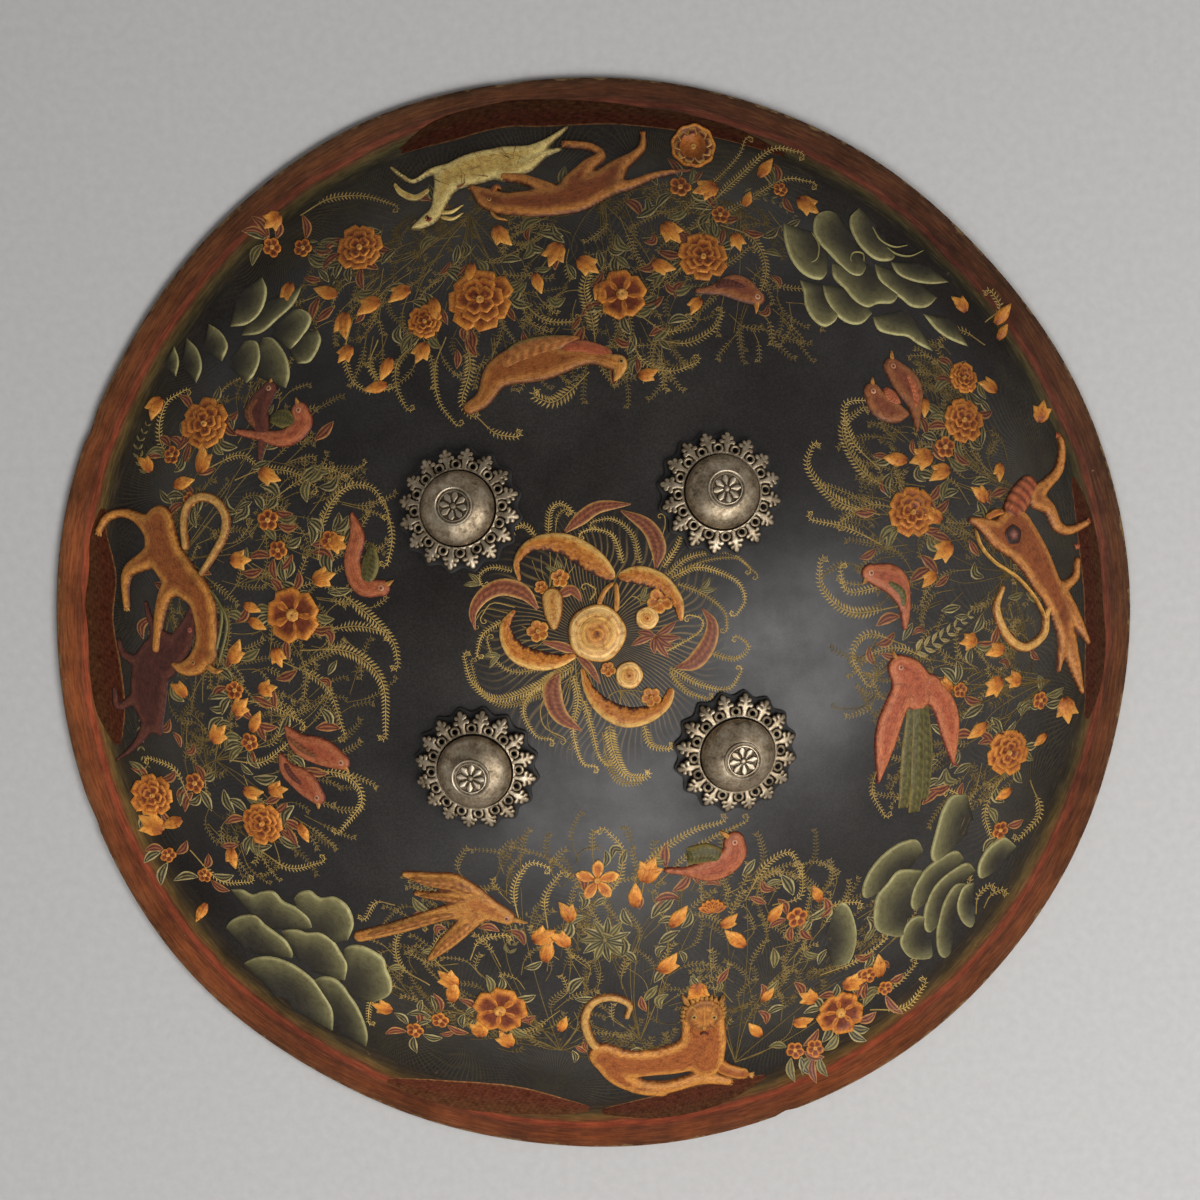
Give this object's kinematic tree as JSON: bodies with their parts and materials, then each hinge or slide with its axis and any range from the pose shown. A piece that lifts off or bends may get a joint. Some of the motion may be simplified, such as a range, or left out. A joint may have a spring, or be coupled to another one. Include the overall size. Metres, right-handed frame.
{
  "type": "dhal shield",
  "caption": "Round convex hide shield with a flat lip, pierced silver bosses, and bow handles hung from rings behind a knuckle cushion.",
  "frame": {"origin": "centre of the rim's circle, on the plane that the rim rests on", "axes": "+Z out through the crown of the shield's face, +X to the right and +Y up as the face is seen, along the sides of the square of bosses"},
  "size_m": [0.55, 0.55, 0.1088],
  "materials": {
    "lacquered_hide": "black-brown lacquer, painted in gold, orange and red",
    "silver": "tarnished silver, blackened in its hollows",
    "black_leather": "matt, worn at the points",
    "iron": "forged, browned",
    "brass": "dull, aged",
    "red_leather": "stitched, rubbed at the grip",
    "velvet": "worn crimson pile",
    "gold_cord": "twisted gilt thread"
  },
  "bodies": {
    "shield": {"hide_shell": "lacquered_hide", "boss_washer_upper_right": "black_leather", "boss_flange_upper_right": "silver", "boss_dome_upper_right": "silver", "boss_medallion_upper_right": "silver", "back_rosette_upper_right": "brass", "eye_bolt_upper_right": "iron", "boss_washer_upper_left": "black_leather", "boss_flange_upper_left": "silver", "boss_dome_upper_left": "silver", "boss_medallion_upper_left": "silver", "back_rosette_upper_left": "brass", "eye_bolt_upper_left": "iron", "boss_washer_lower_left": "black_leather", "boss_flange_lower_left": "silver", "boss_dome_lower_left": "silver", "boss_medallion_lower_left": "silver", "back_rosette_lower_left": "brass", "eye_bolt_lower_left": "iron", "boss_washer_lower_right": "black_leather", "boss_flange_lower_right": "silver", "boss_dome_lower_right": "silver", "boss_medallion_lower_right": "silver", "back_rosette_lower_right": "brass", "eye_bolt_lower_right": "iron", "cushion_backing": "red_leather", "cushion": "velvet", "cushion_piping": "gold_cord"},
    "upper_right_ring": {"ring_upper_right": "iron"},
    "upper_left_ring": {"ring_upper_left": "iron"},
    "lower_left_ring": {"ring_lower_left": "iron"},
    "lower_right_ring": {"ring_lower_right": "iron"},
    "right_handle": {"handle_right": "red_leather", "binding_upper_right": "gold_cord", "binding_lower_right": "gold_cord"},
    "left_handle": {"handle_left": "red_leather", "binding_upper_left": "gold_cord", "binding_lower_left": "gold_cord"}
  },
  "joints": [
    {"name": "upper_right_ring_swing", "type": "hinge", "parent": "shield", "child": "upper_right_ring", "pos_m": [0.06161, 0.06161, 0.07064], "axis": [0, 1, 0], "range_deg": [-55, 55]},
    {"name": "lower_right_ring_swing", "type": "hinge", "parent": "shield", "child": "lower_right_ring", "pos_m": [0.06161, -0.06161, 0.07064], "axis": [0, 1, 0], "range_deg": [-55, 55]},
    {"name": "upper_left_ring_swing", "type": "hinge", "parent": "shield", "child": "upper_left_ring", "pos_m": [-0.06161, 0.06161, 0.07064], "axis": [0, -1, 0], "range_deg": [-55, 55]},
    {"name": "lower_left_ring_swing", "type": "hinge", "parent": "shield", "child": "lower_left_ring", "pos_m": [-0.06161, -0.06161, 0.07064], "axis": [0, -1, 0], "range_deg": [-55, 55]},
    {"name": "right_handle_swing", "type": "hinge", "parent": "upper_right_ring", "child": "right_handle", "pos_m": [0.06161, 0.06161, 0.05064], "axis": [0, 1, 0], "range_deg": [-35, 35]},
    {"name": "left_handle_swing", "type": "hinge", "parent": "upper_left_ring", "child": "left_handle", "pos_m": [-0.06161, 0.06161, 0.05064], "axis": [0, -1, 0], "range_deg": [-35, 35]}
  ],
  "couplings": [
    {"joint": "lower_right_ring_swing", "follows": "upper_right_ring_swing", "ratio": 1},
    {"joint": "lower_left_ring_swing", "follows": "upper_left_ring_swing", "ratio": 1}
  ]
}
